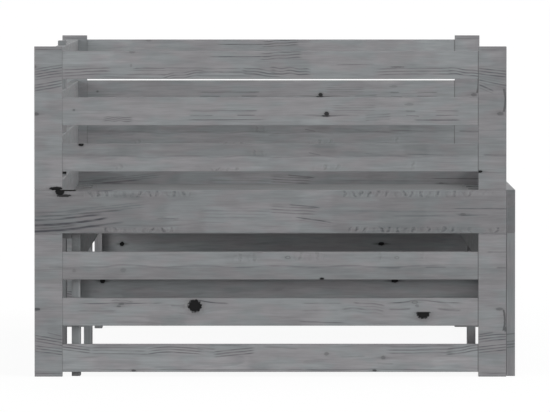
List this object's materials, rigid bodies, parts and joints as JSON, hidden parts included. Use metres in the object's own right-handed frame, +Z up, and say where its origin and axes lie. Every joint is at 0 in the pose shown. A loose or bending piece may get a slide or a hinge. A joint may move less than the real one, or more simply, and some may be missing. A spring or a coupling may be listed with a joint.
{
  "type": "pull-out bed",
  "caption": "Slatted wooden daybed with open board ends and back, whose second slatted frame slides out of the front on its own legs to double the bed's width.",
  "frame": {"origin": "on the floor, under the middle of the closed bed", "axes": "+X towards the side that pulls out, +Y along the bed from its left end to its right end, +Z up"},
  "size_m": [1.0196, 2.04, 0.7],
  "materials": {
    "grey_pine": "grey-stained pine, matt, grain and knots showing",
    "deck_pine": "grey-stained pine, matt, rougher sawn inner pieces",
    "dowel_beech": "plain beech",
    "zinc_steel": "zinc-plated steel"
  },
  "bodies": {
    "frame": {"left_rail": "grey_pine", "left_rear_leg": "grey_pine", "left_front_leg": "grey_pine", "left_rear_arm_post": "grey_pine", "left_front_arm_post": "grey_pine", "left_arm_slat_1": "grey_pine", "left_arm_slat_2": "grey_pine", "left_arm_slat_3": "grey_pine", "left_lower_slat_1": "grey_pine", "left_lower_slat_2": "grey_pine", "left_lower_slat_3": "grey_pine", "right_rail": "grey_pine", "right_rear_leg": "grey_pine", "right_front_leg": "grey_pine", "right_rear_arm_post": "grey_pine", "right_front_arm_post": "grey_pine", "right_arm_slat_1": "grey_pine", "right_arm_slat_2": "grey_pine", "right_arm_slat_3": "grey_pine", "right_lower_slat_1": "grey_pine", "right_lower_slat_2": "grey_pine", "right_lower_slat_3": "grey_pine", "back_mid_post": "grey_pine", "back_rail_left": "grey_pine", "back_rail_right": "grey_pine", "back_slat_left_1": "grey_pine", "back_slat_left_2": "grey_pine", "back_slat_left_3": "grey_pine", "back_slat_right_1": "grey_pine", "back_slat_right_2": "grey_pine", "back_slat_right_3": "grey_pine", "back_batten": "deck_pine", "front_rail": "deck_pine", "front_mid_leg": "deck_pine", "fixed_deck_slats": "deck_pine", "frame_dowels": "dowel_beech", "frame_brackets": "zinc_steel", "frame_screws": "zinc_steel"},
    "pullout": {"pullout_front_board": "grey_pine", "pullout_front_leg_left": "grey_pine", "pullout_front_leg_mid": "grey_pine", "pullout_front_leg_right": "grey_pine", "pullout_front_slat_left_1": "grey_pine", "pullout_front_slat_left_2": "grey_pine", "pullout_front_slat_left_3": "grey_pine", "pullout_front_slat_right_1": "grey_pine", "pullout_front_slat_right_2": "grey_pine", "pullout_front_slat_right_3": "grey_pine", "pullout_rear_rail": "deck_pine", "pullout_rear_leg_left": "grey_pine", "pullout_rear_leg_mid": "grey_pine", "pullout_rear_leg_right": "grey_pine", "pullout_end_board_left": "grey_pine", "pullout_end_board_right": "grey_pine", "pullout_batten": "deck_pine", "pullout_deck_slats": "deck_pine", "pullout_dowels": "dowel_beech", "pullout_screws": "zinc_steel"}
  },
  "joints": [
    {"name": "pullout_slide", "type": "slide", "parent": "frame", "child": "pullout", "axis": [1, 0, 0], "range_m": [0, 0.847]}
  ]
}
